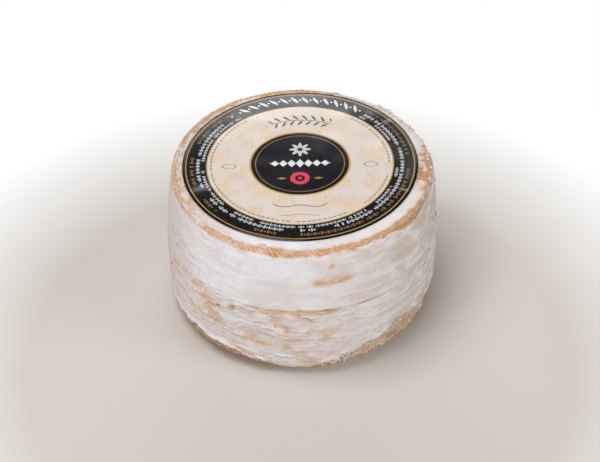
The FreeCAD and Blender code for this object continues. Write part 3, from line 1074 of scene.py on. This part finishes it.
def lozenge_row(tree, colour, across, upward):
    """White lozenges in a row, shorter towards its ends, with a small gold bead where they meet:
    a lozenge is where the shares of its half width and half height add up to less than one."""
    cell = across * 14.0 + 0.5
    side = (cell - cell.whole() - 0.5).size() * 1.9
    half_height = across.size() * -0.09 + 0.056
    row = (side + upward.size() / half_height).under(1.0, 0.10) * cell.whole().size().under(3.5, 0.01)
    colour = mix(tree, row, colour, tint(226, 228, 232))
    beads = cell + 0.5
    far = (beads - beads.whole() - 0.5).squared() + (upward * 14.0).squared()
    bead = far.under(0.015, 0.01) * across.size().under(0.3, 0.01)
    return mix(tree, bead, colour, tint(200, 168, 104))


def rosette(tree, colour, across, upward):
    """A pale flower of eight petals with a dark heart: its edge swings with a cosine."""
    rise = upward - 0.19
    out = (across * across + rise * rise).root()
    petal = (rise.maths("ARCTAN2", across) * 8.0).cosine() * 0.022 + 0.070
    colour = mix(tree, (petal - out).over(0.0, PRINT_SOFT), colour, tint(206, 204, 206))
    return mix(tree, out.under(0.024, PRINT_SOFT), colour, tint(60, 56, 60))


def red_badge(tree, colour, across, upward):
    """A red ring round a red dot, with a small gold lozenge at each side."""
    fall = upward + 0.20
    out = (across * across + fall * fall).root()
    ring = out.between(0.042, 0.082, PRINT_SOFT).most(out.under(0.018, PRINT_SOFT))
    colour = mix(tree, ring, colour, tint(216, 72, 88))
    wing = (across.size() - 0.155).size() * 0.35 + fall.size()
    return mix(tree, wing.under(0.014, PRINT_SOFT), colour, tint(176, 142, 84))


def medallion(tree, field, across, upward, radius):
    """The round black medallion with its gold edge and inner line: a row of lozenges across it,
    with a pale rosette above and a small red badge below."""
    colour = mix(tree, radius.under(0.431, PRINT_SOFT), field, tint(198, 160, 84))
    colour = mix(tree, radius.under(0.416, PRINT_SOFT), colour, tint(20, 20, 27))
    colour = mix(tree, radius.between(0.374, 0.381, PRINT_SOFT), colour, tint(150, 126, 78))
    colour = lozenge_row(tree, colour, across, upward)
    colour = rosette(tree, colour, across, upward)
    return red_badge(tree, colour, across, upward)


# ---------------------------------------------------------------- stage, light and camera

def floor_material():
    """A pale floor that fades to white away from the wheel. Only the camera sees the fade: it is
    an even glow that takes over from the floor with the distance from the fade's middle, which
    lies in front of the wheel's."""
    material, tree, shader = new_material("floor")
    shader.inputs["Base Color"].default_value = tint(208, 201, 194)
    shader.inputs["Roughness"].default_value = 0.9
    shader.inputs["Specular IOR Level"].default_value = 0.1
    place = tree.nodes.new("ShaderNodeTexCoord")
    from_middle = tree.nodes.new("ShaderNodeVectorMath")
    from_middle.operation = "SUBTRACT"
    from_middle.inputs[1].default_value = (0.0, -0.08, 0.0)
    length = tree.nodes.new("ShaderNodeVectorMath")
    length.operation = "LENGTH"
    tree.links.new(place.outputs["Object"], from_middle.inputs[0])
    tree.links.new(from_middle.outputs["Vector"], length.inputs[0])
    fade_reach, fade_width = 0.26, 0.12
    far = Term(tree, length.outputs["Value"]).over(fade_reach, fade_width)
    sight = tree.nodes.new("ShaderNodeLightPath")
    share = far * Term(tree, sight.outputs["Is Camera Ray"])
    glow = tree.nodes.new("ShaderNodeEmission")
    blend = tree.nodes.new("ShaderNodeMixShader")
    tree.links.new(share.socket, blend.inputs["Fac"])
    tree.links.new(shader.outputs["BSDF"], blend.inputs[1])
    tree.links.new(glow.outputs["Emission"], blend.inputs[2])
    tree.links.new(blend.outputs["Shader"], tree.nodes["Material Output"].inputs["Surface"])
    return material


def make_stage():
    """The floor: one wide level square at height 0."""
    bpy.ops.mesh.primitive_plane_add(size=12.0, location=(0.0, 0.0, 0.0))
    floor = bpy.context.object
    floor.name = "floor"
    floor.data.materials.append(floor_material())


def add_lamp(name, place, size, power):
    """A square-cornered lamp at a place in metres, turned to the middle of the wheel."""
    lamp = bpy.data.lights.new(name, "AREA")
    lamp.shape = "RECTANGLE"
    lamp.size, lamp.size_y = size
    lamp.energy = power
    holder = bpy.data.objects.new(name, lamp)
    bpy.context.scene.collection.objects.link(holder)
    holder.location = place
    wheel_middle = Vector((0.0, 0.0, 0.06))
    way = wheel_middle - Vector(place)
    holder.rotation_euler = way.to_track_quat("-Z", "Y").to_euler()


def make_world():
    """White where the camera sees it, and a little even light elsewhere."""
    world = bpy.data.worlds.new("studio")
    world.use_nodes = True
    tree = world.node_tree
    background = tree.nodes["Background"]
    background.inputs["Color"].default_value = (1.0, 1.0, 1.0, 1.0)
    sight = tree.nodes.new("ShaderNodeLightPath")
    strength = Term(tree, sight.outputs["Is Camera Ray"]) * 0.90 + 0.10
    tree.links.new(strength.socket, background.inputs["Strength"])
    return world


def make_light():
    """A big soft lamp overhead, a low pale screen behind, which the glossy paper mirrors, and large
    fills at the front left and the right, with a little light from all round. A faint small lamp
    behind gives the paper a glint."""
    bpy.context.scene.world = make_world()
    add_lamp("overhead", place=(-0.55, -0.15, 2.0), size=(1.0, 1.0), power=24.0)
    add_lamp("back_screen", place=(0.0, 1.8, 1.0), size=(1.8, 0.7), power=14.0)
    add_lamp("front_fill", place=(-1.1, -1.7, 0.75), size=(1.4, 1.0), power=22.0)
    add_lamp("side_fill", place=(1.8, -0.8, 0.8), size=(1.0, 1.2), power=19.0)
    add_lamp("right_glint", place=(0.21, 1.50, 1.40), size=(0.10, 0.30), power=0.08)


def make_camera():
    """The view from the front, looking down by the elevation at a point on the axis."""
    camera = bpy.data.cameras.new("camera")
    camera.lens = CAMERA_LENS
    camera.sensor_width = CAMERA_SENSOR
    holder = bpy.data.objects.new("camera", camera)
    bpy.context.scene.collection.objects.link(holder)
    back = CAMERA_DISTANCE * math.cos(CAMERA_ELEVATION)
    rise = CAMERA_DISTANCE * math.sin(CAMERA_ELEVATION)
    holder.location = (0.0, -back, CAMERA_AIM_HEIGHT + rise)
    holder.rotation_euler = (TURN / 4 - CAMERA_ELEVATION, 0.0, 0.0)
    bpy.context.scene.camera = holder


bpy.context.scene.view_settings.view_transform = "Standard"
make_camera()
make_light()
make_stage()

rind = rind_material()
wheel = add_piece("wheel_rind", wheel_mesh(), rind)
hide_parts("cheese_wheel")
add_piece("loose_flakes", flake_mesh(), rind)
add_piece("crust_crumbs", crumb_mesh(), rind)
label = add_piece("label_sheet", label_mesh(), label_material())
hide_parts("label")
